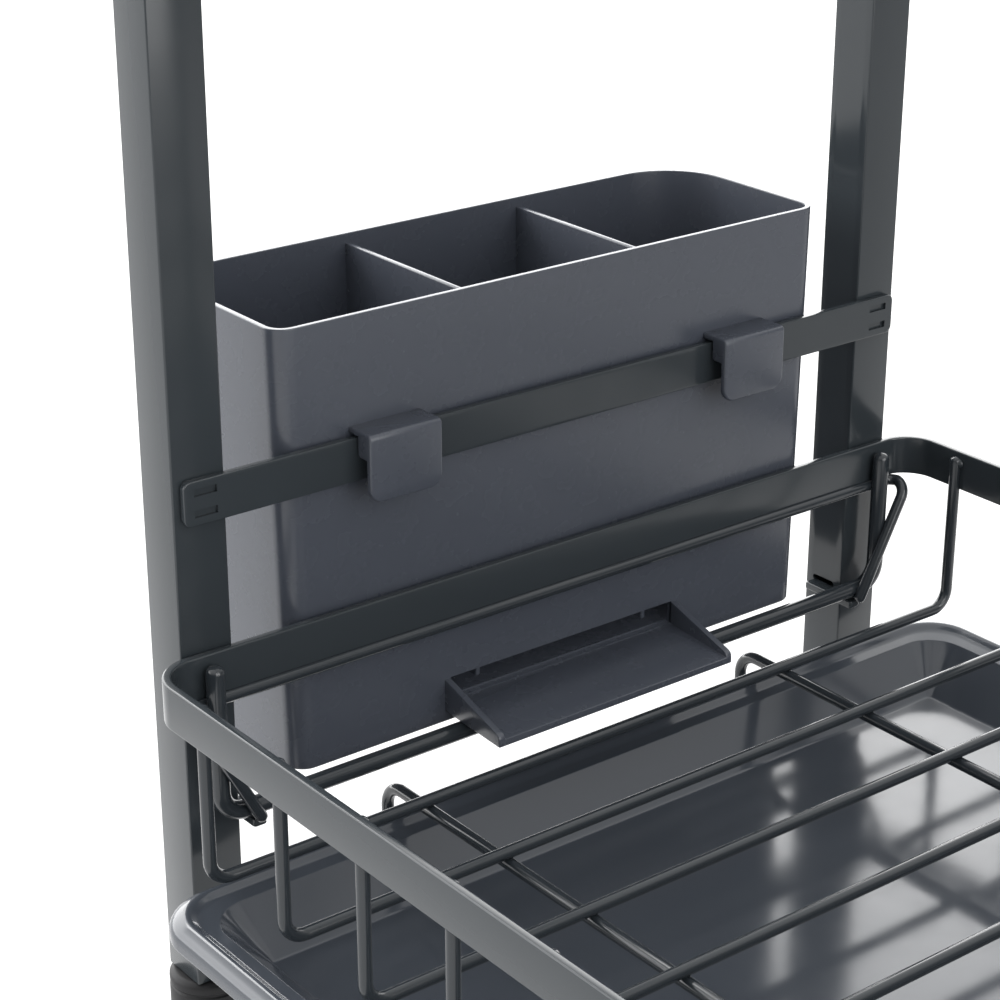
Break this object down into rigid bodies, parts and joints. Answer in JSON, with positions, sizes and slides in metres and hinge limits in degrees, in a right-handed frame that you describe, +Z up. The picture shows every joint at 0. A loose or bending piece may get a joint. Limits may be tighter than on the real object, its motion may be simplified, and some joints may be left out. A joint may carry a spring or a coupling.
{
  "type": "dish drying rack",
  "caption": "Two-tier dish drying rack with square-tube end frames, hanging wire baskets, a slide-out drain tray and a hook-on utensil holder with a drip chute.",
  "frame": {"origin": "on the floor plane under the feet, at the middle of the rack's overall width and length (utensil holder included)", "axes": "+Z up; +Y along the rack's length towards the end that carries the utensil holder; +X across the rack, the way the drain tray slides"},
  "size_m": [0.2876, 0.465, 0.3803],
  "materials": {
    "frame_steel": "satin dark grey powder coat on tube and flat strip",
    "wire_steel": "semi-gloss dark grey coating on round wire",
    "holder_plastic": "fine-grained matt blue-grey plastic",
    "tray_plastic": "glossy dark grey plastic",
    "foot_rubber": "matt black rubber",
    "cap_plastic": "matt dark grey plastic"
  },
  "bodies": {
    "frame": {"post_near_left": "frame_steel", "foot_near_left": "foot_rubber", "cap_near_left": "cap_plastic", "post_near_right": "frame_steel", "foot_near_right": "foot_rubber", "cap_near_right": "cap_plastic", "crossbar_lower_near": "frame_steel", "crossbar_upper_near": "frame_steel", "post_far_left": "frame_steel", "foot_far_left": "foot_rubber", "cap_far_left": "cap_plastic", "post_far_right": "frame_steel", "foot_far_right": "foot_rubber", "cap_far_right": "cap_plastic", "crossbar_lower_far": "frame_steel", "crossbar_upper_far": "frame_steel"},
    "lower_basket": {"lower_basket_rim": "frame_steel", "lower_basket_rib_01": "wire_steel", "lower_basket_rib_02": "wire_steel", "lower_basket_rib_03": "wire_steel", "lower_basket_rib_04": "wire_steel", "lower_basket_rib_05": "wire_steel", "lower_basket_rib_06": "wire_steel", "lower_basket_rib_07": "wire_steel", "lower_basket_rib_08": "wire_steel", "lower_basket_rib_09": "wire_steel", "lower_basket_rib_10": "wire_steel", "lower_basket_rib_11": "wire_steel", "lower_basket_runner_left": "wire_steel", "lower_basket_runner_right": "wire_steel", "lower_basket_hanger_near": "wire_steel", "lower_basket_brace_near": "wire_steel", "lower_basket_hanger_far": "wire_steel", "lower_basket_brace_far": "wire_steel"},
    "upper_basket": {"upper_basket_rim": "frame_steel", "upper_basket_rib_01": "wire_steel", "upper_basket_rib_02": "wire_steel", "upper_basket_rib_03": "wire_steel", "upper_basket_rib_04": "wire_steel", "upper_basket_rib_05": "wire_steel", "upper_basket_rib_06": "wire_steel", "upper_basket_rib_07": "wire_steel", "upper_basket_rib_08": "wire_steel", "upper_basket_rib_09": "wire_steel", "upper_basket_rib_10": "wire_steel", "upper_basket_rib_11": "wire_steel", "upper_basket_runner_left": "wire_steel", "upper_basket_runner_right": "wire_steel", "upper_basket_hanger_near": "wire_steel", "upper_basket_brace_near": "wire_steel", "upper_basket_hanger_far": "wire_steel", "upper_basket_brace_far": "wire_steel"},
    "drain_tray": {"drain_tray": "tray_plastic"},
    "utensil_holder": {"utensil_holder": "holder_plastic"}
  },
  "joints": [
    {"name": "lower_basket_lift", "type": "slide", "parent": "frame", "child": "lower_basket", "axis": [0, 0, 1], "range_m": [0, 0.03]},
    {"name": "upper_basket_lift", "type": "slide", "parent": "frame", "child": "upper_basket", "axis": [0, 0, 1], "range_m": [0, 0.06]},
    {"name": "drain_tray_slide", "type": "slide", "parent": "lower_basket", "child": "drain_tray", "axis": [1, 0, 0], "range_m": [-0.28, 0.28]},
    {"name": "utensil_holder_lift", "type": "slide", "parent": "lower_basket", "child": "utensil_holder", "axis": [0, 0, 1], "range_m": [0, 0.0165]}
  ]
}
